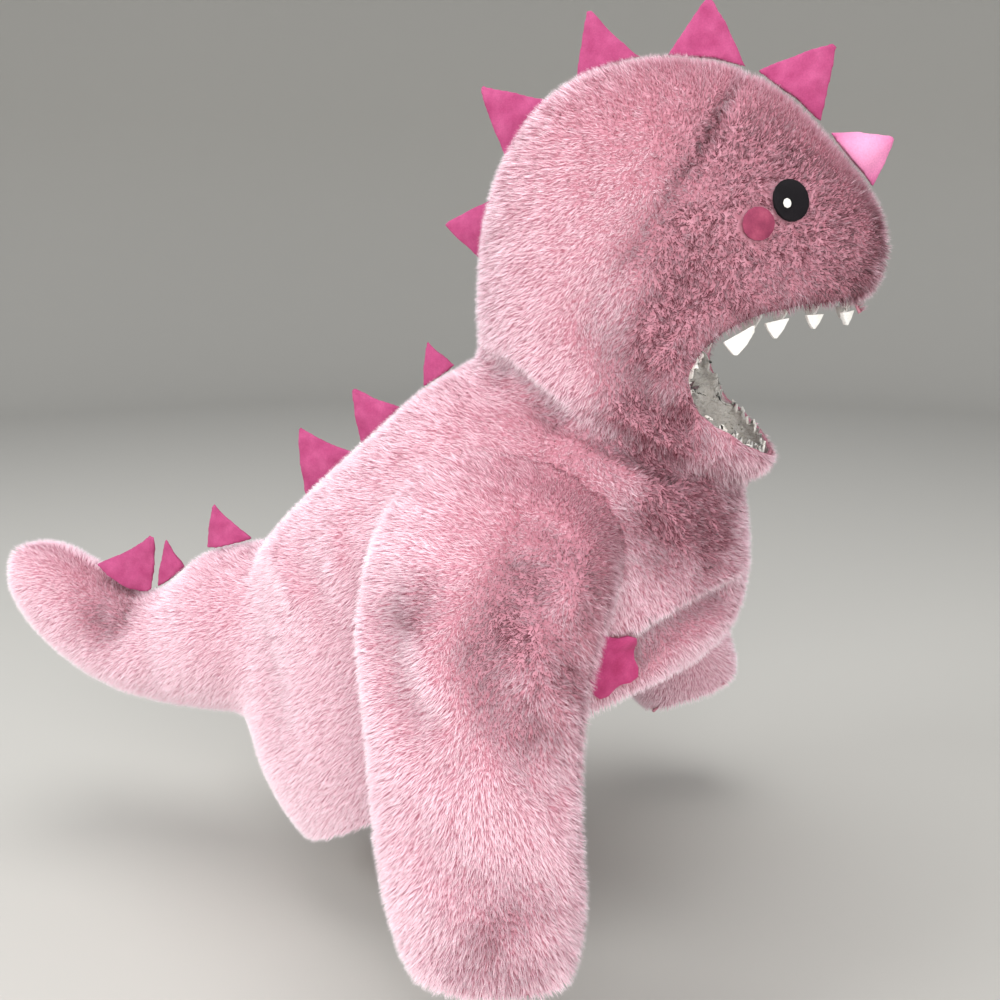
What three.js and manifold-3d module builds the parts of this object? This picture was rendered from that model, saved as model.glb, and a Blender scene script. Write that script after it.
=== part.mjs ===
// A baby's hooded jacket in long-pile plush: a dinosaur's head for a hood, a stuffed tail and felt spikes.
// Millimetres, +Z up. The front faces -Y and the wearer's right side is -X.
// The origin is the middle of the neckline, where the wearer's shoulders carry the jacket.
import * as THREE from 'three';
import { mergeVertices } from 'three/addons/utils/BufferGeometryUtils.js';
import Module from 'manifold-3d';

const wasm = await Module();
wasm.setup();

// Driving sizes
const PLUSH = 7;            // plush wall with its pile and backing
const LINING = 2;           // fleece lining of the hood
const FELT = 1.8;           // thickness of eyes, cheeks and patch
const GLINT = 0.8;          // thickness of the dot in the eye
const TOOTH = 2.4;          // thickness of a tooth
const LINING_SHOW = 2;      // how far the lining rolls out past the mouth's edge
const SEAM = 0.3;           // gap between sewn pieces
const REACH = 400;          // half size of the cutting prisms, past the whole jacket
const OPEN_END = 40;        // how far a hollow runs past an open edge
const BLANK = 12;           // half depth of a felt blank before it is fitted
const LIFT_LEAN = 0.7;      // how much more the sides of a ring rise in front than behind
const RING_FULLNESS = 0.9;  // below 1, a ring is a little fuller at its corners than an ellipse

const COLORS = {
  plush: 0xd9a0b4,
  felt: 0xd9508f,
  lining: 0xe9e5dc,
  black: 0x16131a,
  white: 0xf4f2ee,
  cheek: 0xa84868,
};

// Body of the jacket, from neckline to hem: y and z of the ring's front and back points on the centre line,
// its half width, the lift of its sides, and how much narrower its front is
const BODY = table(['frontY', 'frontZ', 'backY', 'backZ', 'half', 'lift', 'narrow'], [
  [-88, -30, 72, 36, 64, 14, 0.00],
  [-97, -48, 104, 20, 91, 20, 0.02],
  [-101, -68, 140, -12, 107, 25, 0.04],
  [-102, -84, 174, -42, 112, 27, 0.04],
  [-102, -98, 205, -72, 113, 28, 0.03],
  [-101, -109, 229, -108, 113, 28, 0.02],
  [-99, -118, 240, -158, 113, 28, 0.02],
  [-96, -126, 240, -210, 113, 25, 0.02],
  [-92, -133, 227, -262, 112, 20, 0.03],
  [-86, -140, 200, -303, 106, 13, 0.04],
]);

// Hood, from the hidden neck seam over the rolled collar edge to the crown
const HOOD = table(['frontY', 'frontZ', 'backY', 'backZ', 'half', 'lift', 'narrow'], [
  [-80, -54, 46, 8, 56, 8, 0.00],
  [-98, -42, 64, 27, 76, 8, 0.02],
  [-111, -30, 71, 44, 89, 7, 0.05],
  [-121, -16, 71, 64, 96, 5, 0.06],
  [-126, 7, 70, 85, 98, 2, 0.10],
  [-142, 38, 68, 105, 97, 0, 0.16],
  [-160, 68, 65, 125, 94, 0, 0.23],
  [-171, 92, 60, 143, 90, 0, 0.27],
  [-169, 113, 52, 159, 85, 0, 0.28],
  [-157, 136, 42, 174, 78, 0, 0.27],
  [-138, 158, 31, 187, 68, 0, 0.22],
  [-116, 181, 13, 199, 54, 0, 0.15],
  [-92, 198, -7, 206, 36, 0, 0.10],
  [-66, 207, -28, 210, 16, 0, 0.05],
]);

// Sleeves, from inside the body to the cuff: the ring's middle, its half width front to back
// and its half thickness
const SLEEVE_RIGHT = table(['x', 'y', 'z', 'wide', 'thick'], [
  [-40, 34, -46, 60, 42],
  [-80, 34, -52, 68, 51],
  [-121, 33, -72, 73, 52],
  [-149, 33, -106, 67, 46],
  [-162, 31, -150, 61, 41],
  [-167, 28, -196, 60, 39],
  [-169, 23, -240, 58, 38],
  [-169, 19.5, -278, 50, 34],
]);
const SLEEVE_LEFT = table(['x', 'y', 'z', 'wide', 'thick'], [
  [40, 32, -46, 60, 42],
  [80, 31, -52, 68, 51],
  [121, 25, -72, 72, 51],
  [149, 14, -106, 67, 46],
  [163, -3, -146, 61, 41],
  [170, -22, -184, 57, 39],
  [174, -40, -220, 53, 38],
  [175, -54, -250, 46, 34],
]);

// Tail, from inside the rump to the tip: middle and radius of each round section
const TAIL = table(['y', 'z', 'radius'], [
  [186, -150, 52],
  [244, -161, 64.5],
  [283, -175.5, 53],
  [322, -184.5, 42],
  [358, -176.5, 38.5],
  [389, -157, 37],
  [412, -139, 32],
  [428, -127, 24],
  [438, -120, 12],
]);

// Seams as lines in the side view, y and z
const HOOD_SEAM = [
  [-86, 260], [-85, 194], [-67, 152], [-44, 114], [-22, 80], [-12, 60], [-5, 38], [2, 18], [10, -90],
];
const SIDE_SEAM = [[0, 120], [4, 20], [20, -40], [45, -120], [64, -230], [72, -400]];
const MOUTH = [
  [-260, 81], [-164, 72], [-146, 68], [-121, 67], [-97, 62], [-80, 52], [-70, 40], [-68, 28], [-73, 17],
  [-85, 5], [-97, -3], [-108, -11], [-119, -20], [-260, -66],
];

// Spikes: the y and z of both ends of the base and of the tip, in the plane of the centre seam, the thickness
// at the base, and how far each edge bows out or in, as a share of its length
const SPIKES = table(['fromY', 'fromZ', 'toY', 'toZ', 'tipY', 'tipZ', 'thick', 'fromBow', 'toBow'], [
  [-129, 165, -155, 132, -166, 162, 16, 0.06, 0.06],
  [-93, 201, -127, 172, -132, 212, 9, 0.03, 0.02],
  [-40, 211, -82, 206, -62, 240, 9, 0.03, 0.04],
  [14, 199, -25, 210, 7, 237, 9, 0.02, -0.03],
  [57, 156, 31, 189, 72, 197, 9, 0.03, 0.00],
  [76, 98, 68, 131, 96, 117, 9, 0.03, 0.02],
  [112, 7, 89, 30, 109, 44, 9, 0.04, -0.04],
  [156, -27, 122, 0, 161, 12, 9, 0.05, -0.04],
  [198, -63, 161, -30, 201, -16, 9, 0.05, -0.06],
  [279, -118, 245, -92, 270, -74, 9, 0.04, -0.04],
  [321, -143, 289, -128, 310, -102, 9, 0.02, -0.05],
  [379, -127, 326, -146, 321, -100, 9, -0.07, 0.05],
]);
const SPIKE_EDGE = 1.6;                     // thickness along the sewn edges
const SPIKE_TIP = 0.08;                     // width left at the tip, as a share of the base
const SPIKE_ROOT = 0.35;                    // how far the blank runs below its base, as a share of its height
const SPIKE_LEVELS = [0.2, 0.6, 0.88, 1];   // heights of its sections, as shares of its height
const SPIKE_TAPER = 0.85;                   // how much of the padding's thickness is gone at the tip
const SPIKE_PAD = [[0, 0], [0.3, 0.95], [0.7, 0.95], [1, 0]];   // place across, share of the padding

// Teeth along the upper lip, the same on both sides: place along the lip, width and length
const TOOTH_ROOT = 4;       // how far a tooth runs up behind the lip
const TOOTH_OUTLINE = [[0.5, 0], [0.3, 0.55], [0.05, 1]];   // half width and drop of its edge, as shares
const TEETH = table(['y', 'width', 'length'], [
  [-91, 20, 12],
  [-111, 15, 10],
  [-131, 12, 8],
  [-149, 11, 8],
]);

// Felt shapes on the muzzle, at the same y and z on both sides
const EYE = { y: -113, z: 126, wide: 20.5, tall: 22.5, corners: 18 };
const GLINT_DOT = { y: -110.5, z: 124, wide: 4.6, tall: 5.2, corners: 8 };
const CHEEK = { y: -97.5, z: 114, wide: 17.5, tall: 17.5, corners: 14 };

// Scalloped patch on the right front
const PATCH = { y: -28, z: -128, radius: 19, lobes: 5, depth: 0.15, turn: 2.5, corners: 25 };

// Folds of each form: depth into the cloth, or out of it when negative, width, and the path they follow
const FOLDS = table(['form', 'depth', 'width', 'path'], [
  ['sleeveRight', 5, 14, [[-166, 80, -67], [-186, 65, -93], [-196, 51, -119]]],
  ['sleeveRight', 6, 15, [[-177, 10, -66], [-191, 18, -93], [-195, 6, -118], [-191, -14, -141]]],
  ['sleeveRight', 5, 12, [[-170, -4, -63], [-173, -19, -84], [-169, -28, -93]]],
  ['sleeveRight', -4, 12, [[-160, 104, -40], [-160, 102, -70], [-166, 98, -100]]],
  ['sleeveRight', 4, 13, [[-124, 40, -190], [-130, 12, -182], [-150, -24, -190]]],
  ['sleeveLeft', 5, 14, [[166, 66, -70], [188, 46, -96], [196, 20, -124]]],
  ['sleeveLeft', 6, 14, [[176, -8, -66], [190, -18, -98], [186, -48, -130]]],
  ['sleeveLeft', 4, 13, [[134, 34, -180], [136, 4, -176], [150, -36, -174]]],
  ['body', -5, 11, [[-85, -43, -114], [-72, -66, -100], [-49, -89, -90], [-28, -98, -86]]],
  ['body', 9, 12, [[-82, -47, -122], [-74, -61, -110], [-63, -76, -102], [-43, -92, -97]]],
  ['body', -5, 11, [[85, -43, -110], [70, -67, -98], [46, -91, -92]]],
  ['body', 8, 12, [[82, -48, -119], [68, -70, -108], [44, -92, -103]]],
  ['body', -4, 12, [[-40, 209, -87], [-88, 170, -97], [-103, 151, -117]]],
  ['body', -4, 12, [[40, 209, -87], [86, 172, -99], [103, 148, -121]]],
  ['body', 5, 15, [[-60, 196, -120], [-82, 186, -160], [-84, 180, -200]]],
  ['body', 5, 15, [[62, 195, -124], [84, 184, -170], [82, 182, -214]]],
  ['hood', 7, 14, [[-99, -19, 62], [-97, -31, 39], [-91, -47, 21], [-81, -62, 5], [-75, -73, 1]]],
  ['hood', 7, 14, [[99, -17, 58], [97, -30, 36], [90, -48, 18], [80, -64, 4]]],
]);

// Turns rows of numbers into rows with named columns
function table(names, rows) {
  return rows.map((row) => Object.fromEntries(names.map((name, i) => [name, row[i]])));
}

// Value of one column at a place along a table, on a smooth curve through the rows
function along(rows, name, place) {
  const last = rows.length - 1;
  const at = Math.min(Math.max(place, 0), last);
  const i = Math.min(Math.floor(at), last - 1);
  const t = at - i;
  const value = (k) => rows[Math.min(Math.max(k, 0), last)][name];
  const [a, b, c, d] = [value(i - 1), value(i), value(i + 1), value(i + 2)];
  const start = (c - a) / 2;
  const end = (d - b) / 2;
  return (2 * t ** 3 - 3 * t ** 2 + 1) * b + (t ** 3 - 2 * t ** 2 + t) * start
    + (3 * t ** 2 - 2 * t ** 3) * c + (t ** 3 - t ** 2) * end;
}

// Point on a ring of the body or hood: angle 0 is the front, a quarter turn is the right side
function ringPoint(rows, place, angle) {
  const value = (name) => along(rows, name, place);
  const forward = Math.cos(angle);
  const sideways = Math.sin(angle);
  const middleY = (value('frontY') + value('backY')) / 2;
  const middleZ = (value('frontZ') + value('backZ')) / 2;
  const reachY = (value('frontY') - value('backY')) / 2;
  const reachZ = (value('frontZ') - value('backZ')) / 2;
  const width = value('half') * (1 - value('narrow') * forward);
  return new THREE.Vector3(
    -width * Math.sign(sideways) * Math.abs(sideways) ** RING_FULLNESS,
    middleY + reachY * forward,
    middleZ + reachZ * forward + value('lift') * sideways ** 2 * (1 + LIFT_LEAN * forward),
  );
}

// Point on a ring of a sleeve: angle 0 is the front edge, a quarter turn is the outer side
function sleevePoint(rows, place, angle) {
  const middle = (at) => new THREE.Vector3(along(rows, 'x', at), along(rows, 'y', at), along(rows, 'z', at));
  const step = 0.05;
  const run = middle(place + step).sub(middle(place - step)).normalize();
  const side = Math.sign(rows[0].x);
  const out = new THREE.Vector3(0, -1, 0).cross(run).normalize();
  const front = run.clone().cross(out).normalize();
  return middle(place)
    .addScaledVector(front, along(rows, 'wide', place) * Math.cos(angle) * -1)
    .addScaledVector(out, along(rows, 'thick', place) * Math.sin(angle) * -side);
}

// Point on a round section of the tail
function tailPoint(rows, place, angle) {
  const middle = (at) => new THREE.Vector3(0, along(rows, 'y', at), along(rows, 'z', at));
  const step = 0.05;
  const run = middle(place + step).sub(middle(place - step)).normalize();
  const up = new THREE.Vector3(1, 0, 0).cross(run);
  const radius = along(rows, 'radius', place);
  return middle(place)
    .addScaledVector(up, radius * Math.cos(angle))
    .add(new THREE.Vector3(-radius * Math.sin(angle), 0, 0));
}

// A form is a point function, its table and its grid
const FORMS = {
  body: { at: ringPoint, rows: BODY, steps: 14, around: 40 },
  hood: { at: ringPoint, rows: HOOD, steps: 14, around: 32 },
  sleeveRight: { at: sleevePoint, rows: SLEEVE_RIGHT, steps: 12, around: 22 },
  sleeveLeft: { at: sleevePoint, rows: SLEEVE_LEFT, steps: 12, around: 22 },
  tail: { at: tailPoint, rows: TAIL, steps: 12, around: 18 },
};
for (const [name, form] of Object.entries(FORMS)) {
  form.folds = FOLDS.filter((fold) => fold.form === name)
    .map((fold) => ({ ...fold, path: fold.path.map((p) => new THREE.Vector3(...p)) }));
}

// How deep the folds of a form press its surface in at a point
function foldDepth(form, point) {
  const nearest = new THREE.Vector3();
  return form.folds.reduce((sum, { depth, width, path }) => {
    let distance = Infinity;
    for (let i = 0; i + 1 < path.length; i += 1) {
      new THREE.Line3(path[i], path[i + 1]).closestPointToPoint(point, true, nearest);
      distance = Math.min(distance, nearest.distanceTo(point));
    }
    return sum + depth * Math.exp(-((distance / width) ** 2));
  }, 0);
}

// Outward normal of a form's surface
function surfaceNormal(form, place, angle) {
  const step = 0.02;
  const last = form.rows.length - 1;
  const low = Math.max(place - step, 0);
  const high = Math.min(place + step, last);
  const point = form.at(form.rows, place, angle);
  const alongRun = form.at(form.rows, high, angle).sub(form.at(form.rows, low, angle));
  const aroundRing = form.at(form.rows, place, angle + step).sub(form.at(form.rows, place, angle - step));
  const normal = aroundRing.cross(alongRun).normalize();
  const middle = form.at(form.rows, place, 0).add(form.at(form.rows, place, Math.PI)).multiplyScalar(0.5);
  if (normal.dot(point.clone().sub(middle)) < 0) normal.negate();
  return normal;
}

// Point on a form with its folds, moved out by an offset
function surfacePoint(form, place, angle, offset) {
  const point = form.at(form.rows, place, angle);
  return point.addScaledVector(surfaceNormal(form, place, angle), offset - foldDepth(form, point));
}

function middleOf(ring) {
  return ring.reduce((sum, point) => sum.add(point), new THREE.Vector3()).divideScalar(ring.length);
}

// Closed solid of a form, its surface moved by an offset and its ends run on by an extra length
function formSolid(form, offset, startRun = 0, endRun = 0) {
  const last = form.rows.length - 1;
  const rings = [];
  for (let i = 0; i <= form.steps; i += 1) {
    const place = (last * i) / form.steps;
    const ring = [];
    for (let j = 0; j < form.around; j += 1) {
      ring.push(surfacePoint(form, place, (2 * Math.PI * j) / form.around, offset));
    }
    rings.push(ring);
  }
  const runOn = (ring, next, length) => {
    const shift = middleOf(ring).sub(middleOf(next)).setLength(length);
    return ring.map((p) => p.clone().add(shift));
  };
  if (startRun) rings.unshift(runOn(rings[0], rings[1], startRun));
  if (endRun) rings.push(runOn(rings.at(-1), rings.at(-2), endRun));
  return loft(rings, middleOf(rings[0]), middleOf(rings.at(-1)));
}

// Closed solid through rings of points, with a fan to a point at each end
function loft(rings, startPoint, endPoint) {
  const around = rings[0].length;
  const points = rings.flat();
  const faces = [];
  for (let i = 0; i + 1 < rings.length; i += 1) {
    for (let j = 0; j < around; j += 1) {
      const a = i * around + j;
      const b = i * around + ((j + 1) % around);
      faces.push([a, b, b + around], [a, b + around, a + around]);
    }
  }
  const startIndex = points.push(startPoint) - 1;
  const endIndex = points.push(endPoint) - 1;
  const lastRing = (rings.length - 1) * around;
  for (let j = 0; j < around; j += 1) {
    const next = (j + 1) % around;
    faces.push([startIndex, next, j], [endIndex, lastRing + j, lastRing + next]);
  }
  return solidOf(points, faces);
}

// A manifold solid from points and faces, turned outwards if it comes inside out
function solidOf(points, faces) {
  const make = (order) => new wasm.Manifold(new wasm.Mesh({
    numProp: 3,
    vertProperties: new Float32Array(points.flatMap((p) => [p.x, p.y, p.z])),
    triVerts: new Uint32Array(faces.flatMap(order)),
  }));
  const signed = faces.reduce((sum, [a, b, c]) => (
    sum + points[a].dot(points[b].clone().cross(points[c]))
  ), 0);
  return make(signed > 0 ? (face) => face : ([a, b, c]) => [a, c, b]);
}

function solidOfGeometry(geometry) {
  geometry.deleteAttribute('normal');
  geometry.deleteAttribute('uv');
  const merged = mergeVertices(geometry, 1e-4);
  const position = merged.getAttribute('position');
  const points = [];
  for (let i = 0; i < position.count; i += 1) {
    points.push(new THREE.Vector3().fromBufferAttribute(position, i));
  }
  const faces = [];
  const { array } = merged.getIndex();
  for (let i = 0; i < array.length; i += 3) faces.push([array[i], array[i + 1], array[i + 2]]);
  return solidOf(points, faces);
}

// Prism of a side-view outline, between two x values
function prism(outline, fromX, toX) {
  const shape = new THREE.Shape(outline.map(([y, z]) => new THREE.Vector2(y, z)));
  const geometry = new THREE.ExtrudeGeometry(shape, { depth: toX - fromX, bevelEnabled: false });
  const frame = new THREE.Matrix4().makeBasis(
    new THREE.Vector3(0, 1, 0), new THREE.Vector3(0, 0, 1), new THREE.Vector3(1, 0, 0),
  );
  geometry.applyMatrix4(frame);
  geometry.translate(fromX, 0, 0);
  return solidOfGeometry(geometry);
}

// A line in the side view moved sideways by a distance, to the left of its run when positive
function shifted(line, distance) {
  return line.map((point, i) => {
    const before = line[Math.max(i - 1, 0)];
    const after = line[Math.min(i + 1, line.length - 1)];
    const run = new THREE.Vector2(after[0] - before[0], after[1] - before[1]).normalize();
    return [point[0] - run.y * distance, point[1] + run.x * distance];
  });
}

// The part of a solid on one side of a seam and on one side of the centre plane
function panel(solid, seam, inFront, right) {
  const edge = shifted(seam, inFront ? -SEAM / 2 : SEAM / 2);
  const farY = inFront ? -REACH : REACH;
  const outline = [...edge, [farY, edge.at(-1)[1]], [farY, edge[0][1]]];
  const span = right ? [-REACH, -SEAM / 2] : [SEAM / 2, REACH];
  return solid.intersect(prism(outline, ...span));
}

// Place and angle of a form's surface at a given y and z, on the right or the left side
function findOn(form, y, z, right) {
  const last = form.rows.length - 1;
  let best = { place: last / 2, angle: Math.PI / 2, miss: Infinity };
  let reachPlace = last / 2;
  let reachAngle = Math.PI / 2;
  for (let round = 0; round < 7; round += 1) {
    const around = best;
    for (let i = -10; i <= 10; i += 1) {
      for (let j = -10; j <= 10; j += 1) {
        const place = Math.min(Math.max(around.place + (reachPlace * i) / 10, 0), last);
        const angle = Math.min(Math.max(around.angle + (reachAngle * j) / 10, 0), Math.PI);
        const point = form.at(form.rows, place, angle);
        const miss = Math.hypot(point.y - y, point.z - z);
        if (miss < best.miss) best = { place, angle, miss };
      }
    }
    reachPlace /= 4;
    reachAngle /= 4;
  }
  return { place: best.place, angle: right ? best.angle : -best.angle };
}

// Upright plate of an outline, given as across and up, set at a point and square to a direction
function plate(outline, center, facing, fromDepth, toDepth) {
  const out = facing.clone().normalize();
  const across = new THREE.Vector3(0, 0, 1).cross(out).normalize();
  const up = out.clone().cross(across);
  const shape = new THREE.Shape(outline.map(([u, v]) => new THREE.Vector2(u, v)));
  const geometry = new THREE.ExtrudeGeometry(shape, { depth: toDepth - fromDepth, bevelEnabled: false });
  geometry.translate(0, 0, fromDepth);
  geometry.applyMatrix4(new THREE.Matrix4().makeBasis(across, up, out).setPosition(center));
  return solidOfGeometry(geometry);
}

// Felt shape that lies on a form, lifted a little off its surface
function feltOn(form, { y, z }, right, outline, lift, thick) {
  const { place, angle } = findOn(form, y, z, right);
  const center = surfacePoint(form, place, angle, 0);
  const blank = plate(outline, center, surfaceNormal(form, place, angle), -BLANK, BLANK);
  return blank.intersect(formSolid(form, lift + thick)).subtract(formSolid(form, lift));
}

function ellipse({ wide, tall, corners }) {
  return Array.from({ length: corners }, (_, i) => {
    const angle = (2 * Math.PI * i) / corners;
    return [(wide / 2) * Math.cos(angle), (tall / 2) * Math.sin(angle)];
  });
}

function scallop({ radius, lobes, depth, turn, corners }) {
  return Array.from({ length: corners }, (_, i) => {
    const angle = (2 * Math.PI * i) / corners;
    const reach = radius * (1 + depth * Math.cos(lobes * angle + turn));
    return [reach * Math.cos(angle), reach * Math.sin(angle)];
  });
}

// Blank of a padded felt spike, before it is fitted to what it stands on
function spikeBlank(row) {
  const from = new THREE.Vector2(row.fromY, row.fromZ);
  const to = new THREE.Vector2(row.toY, row.toZ);
  const tip = new THREE.Vector2(row.tipY, row.tipZ);
  const base = to.clone().sub(from);
  const edge = (start, bow, outward, height) => {
    const end = tip.clone().addScaledVector(base, (outward * SPIKE_TIP) / 2);
    const run = end.clone().sub(start);
    const bulge = Math.max(4 * height * (1 - height), 0) * bow * run.length();
    return start.clone().addScaledVector(run, height)
      .addScaledVector(base.clone().normalize(), outward * bulge);
  };
  const rings = [-SPIKE_ROOT, ...SPIKE_LEVELS].map((height) => {
    const left = edge(from, row.fromBow, -1, height);
    const right = edge(to, row.toBow, 1, height);
    const padding = row.thick * (1 - Math.max(height, 0) * SPIKE_TAPER);
    const half = (share) => Math.max(SPIKE_EDGE, padding * share) / 2;
    const side = (sign) => SPIKE_PAD.map(([place, share]) => {
      const point = left.clone().lerp(right, place);
      return new THREE.Vector3(sign * half(share), point.x, point.y);
    });
    return [...side(1), ...side(-1).reverse()];
  });
  return loft(rings, middleOf(rings[0]), middleOf(rings.at(-1)));
}

// The largest of the separate bodies in a solid
function mainBody(solid) {
  return solid.decompose().reduce((big, one) => (one.volume() > big.volume() ? one : big));
}

// Height of the upper lip at a place along it
function lipHeight(y) {
  const i = MOUTH.findIndex(([lipY]) => lipY > y);
  const [[y0, z0], [y1, z1]] = [MOUTH[i - 1], MOUTH[i]];
  return z0 + ((z1 - z0) * (y - y0)) / (y1 - y0);
}

const outer = {};
const clear = {};
for (const [name, form] of Object.entries(FORMS)) {
  outer[name] = formSolid(form, 0);
  clear[name] = formSolid(form, SEAM);
}
const hollow = {
  body: formSolid(FORMS.body, -PLUSH, OPEN_END, OPEN_END),
  hood: formSolid(FORMS.hood, -PLUSH, OPEN_END, 0),
  sleeveRight: formSolid(FORMS.sleeveRight, -PLUSH, 0, OPEN_END),
  sleeveLeft: formSolid(FORMS.sleeveLeft, -PLUSH, 0, OPEN_END),
};
const mouth = prism(MOUTH, -REACH, REACH);
const sides = [['right', true], ['left', false]];

const group = new THREE.Group();

function addPiece(name, solid, color, roughness = 0.95) {
  const mesh = mainBody(solid).getMesh();
  const geometry = new THREE.BufferGeometry();
  const stride = mesh.numProp;
  const position = new Float32Array((mesh.vertProperties.length / stride) * 3);
  for (let i = 0; i < position.length / 3; i += 1) {
    for (let k = 0; k < 3; k += 1) position[3 * i + k] = mesh.vertProperties[stride * i + k];
  }
  geometry.setAttribute('position', new THREE.BufferAttribute(position, 3));
  geometry.setIndex(new THREE.BufferAttribute(new Uint32Array(mesh.triVerts), 1));
  geometry.computeVertexNormals();
  const material = new THREE.MeshStandardMaterial({ color, roughness, metalness: 0 });
  const piece = new THREE.Mesh(geometry, material);
  piece.name = name;
  group.add(piece);
}

// Body panels, with the armholes cut through
const bodyWall = outer.body.subtract(hollow.body).subtract(hollow.sleeveRight).subtract(hollow.sleeveLeft);
for (const [side, right] of sides) {
  addPiece(`front_${side}`, panel(bodyWall, SIDE_SEAM, true, right), COLORS.plush);
  addPiece(`back_${side}`, panel(bodyWall, SIDE_SEAM, false, right), COLORS.plush);
}

// Sleeves, set on the body's sides
addPiece('sleeve_right', outer.sleeveRight.subtract(hollow.sleeveRight).subtract(clear.body), COLORS.plush);
addPiece('sleeve_left', outer.sleeveLeft.subtract(hollow.sleeveLeft).subtract(clear.body), COLORS.plush);

// Hood, standing on the shoulders, and its lining, which rolls out a little past the mouth's edge
const shoulders = clear.body.add(clear.sleeveRight).add(clear.sleeveLeft);
const hoodWall = outer.hood.subtract(hollow.hood).subtract(mouth).subtract(shoulders);
for (const [side, right] of sides) {
  addPiece(`muzzle_${side}`, panel(hoodWall, HOOD_SEAM, true, right), COLORS.plush);
  addPiece(`hood_back_${side}`, panel(hoodWall, HOOD_SEAM, false, right), COLORS.plush);
}
const liningWall = formSolid(FORMS.hood, -PLUSH - SEAM)
  .subtract(formSolid(FORMS.hood, -PLUSH - SEAM - LINING, OPEN_END, 0));
const liningMouth = prism(shifted(MOUTH, -LINING_SHOW), -REACH, REACH);
addPiece('hood_lining', liningWall.subtract(liningMouth).subtract(shoulders), COLORS.lining);

// Stuffed tail, sewn to the rump
addPiece('tail', outer.tail.subtract(clear.body), COLORS.plush);

// Spikes along the centre seam
const carriers = clear.hood.add(clear.body).add(clear.tail);
SPIKES.forEach((row, i) => {
  const name = `spike_${String(i + 1).padStart(2, '0')}`;
  addPiece(name, spikeBlank(row).subtract(carriers), COLORS.felt, 0.85);
});

// Teeth, sewn between plush and lining along the upper lip
const mouthClear = prism(shifted(MOUTH, -SEAM), -REACH, REACH);
for (const [side, right] of sides) {
  TEETH.forEach(({ y, width, length }, i) => {
    const lip = lipHeight(y);
    const { place, angle } = findOn(FORMS.hood, y, lip, right);
    const facing = surfaceNormal(FORMS.hood, place, angle).setZ(0).normalize();
    const center = surfacePoint(FORMS.hood, place, angle, -PLUSH / 2).setZ(lip);
    const edge = (sign) => [
      [(sign * width) / 2, TOOTH_ROOT],
      ...TOOTH_OUTLINE.map(([half, drop]) => [sign * half * width, -drop * length]),
    ];
    const outline = [...edge(-1), ...edge(1).reverse()];
    const tooth = plate(outline, center, facing, -TOOTH / 2, TOOTH / 2).intersect(mouthClear);
    addPiece(`tooth_${side}_${i + 1}`, tooth, COLORS.white, 0.8);
  });
}

// Felt eyes with their glints, cheeks and the patch
for (const [side, right] of sides) {
  const onMuzzle = (shape, lift, thick) => feltOn(FORMS.hood, shape, right, ellipse(shape), lift, thick);
  addPiece(`eye_${side}`, onMuzzle(EYE, SEAM, FELT), COLORS.black, 0.6);
  addPiece(`eye_glint_${side}`, onMuzzle(GLINT_DOT, 2 * SEAM + FELT, GLINT), COLORS.white);
  addPiece(`cheek_${side}`, onMuzzle(CHEEK, SEAM, FELT), COLORS.cheek, 0.9);
}
addPiece('patch_right', feltOn(FORMS.body, PATCH, true, scallop(PATCH), SEAM, FELT), COLORS.felt, 0.85);

export default group;
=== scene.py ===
"""Looks of a child's jacket in long-pile plush: a dinosaur's head for a hood, felt spikes, a stuffed tail.

The row frame is in metres, +Z up, the front faces -Y and the wearer's right side is -X.
Plush panels are thin backings cut from one smooth skin, each with its own pile of small blades.
"""

import math

import bmesh
import bpy
import numpy as np
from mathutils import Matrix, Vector, noise
from mathutils.bvhtree import BVHTree


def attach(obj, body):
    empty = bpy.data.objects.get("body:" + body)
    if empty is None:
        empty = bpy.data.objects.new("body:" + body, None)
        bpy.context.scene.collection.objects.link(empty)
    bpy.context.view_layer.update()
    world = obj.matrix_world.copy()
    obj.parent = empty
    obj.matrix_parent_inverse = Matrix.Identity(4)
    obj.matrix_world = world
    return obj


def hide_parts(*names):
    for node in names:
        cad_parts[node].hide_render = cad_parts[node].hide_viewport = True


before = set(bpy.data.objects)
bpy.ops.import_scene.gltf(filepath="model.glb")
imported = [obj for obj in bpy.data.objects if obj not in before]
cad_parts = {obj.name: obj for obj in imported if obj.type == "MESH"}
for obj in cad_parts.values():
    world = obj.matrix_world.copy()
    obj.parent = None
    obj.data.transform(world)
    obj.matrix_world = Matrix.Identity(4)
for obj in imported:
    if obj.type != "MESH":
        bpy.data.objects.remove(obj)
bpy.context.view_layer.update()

MM = 0.001

# Plush: the skin lies below the pile's top by PILE_SINK, and its blades reach back up to it
CLOTH_STEP = 3.7 * MM       # mesh step of the plush skin
SEAM_CLOSE = 0.25 * MM      # each panel grows by this, so that the seams' gaps close in the skin
SKIN_ROUNDS = 22            # smoothing rounds that take the corners out of the skin
EDGE_ROUNDS = 10            # smoothing rounds along its open edges
LINING_EDGE_ROUNDS = 6
PILE_SINK = 4.5 * MM        # depth of the backing below the top of the pile
BACKING = 1.8 * MM          # thickness of the backing
RIB_SCALE = 1 / (2.2 * MM) / 6.3    # ribs 2.2 mm apart on the wrong side
PILE_LENGTH = 6.2 * MM      # length of a blade of pile
PILE_WIDTH = 0.42 * MM      # width of a blade at its root
PILE_LEAN = 0.6             # how far the smooth pile lies down, as the tangent of its angle
BLADES = 570000             # blades on all the plush together
TUFT_STEP = 1.7 * MM        # distance between tufts that draw the blades' tips together
TUFT_PULL = 0.38            # how far a tip is drawn to its tuft's tip
BLADE_SHADE = 0.75          # how much of a blade's shading normal is its own
SKIN_SHADE = 0.5            # and how much comes from the skin
PILE_SEED = 100             # first of the panels' random seeds
# How far blades and tufts stray, how strongly the comb swirls, and the size of a swirl
PLUSH_HABIT = {"wild": 0.42, "tuft_wild": 0.4, "swirl": 0.4, "swirl_size": 11 * MM}

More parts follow.
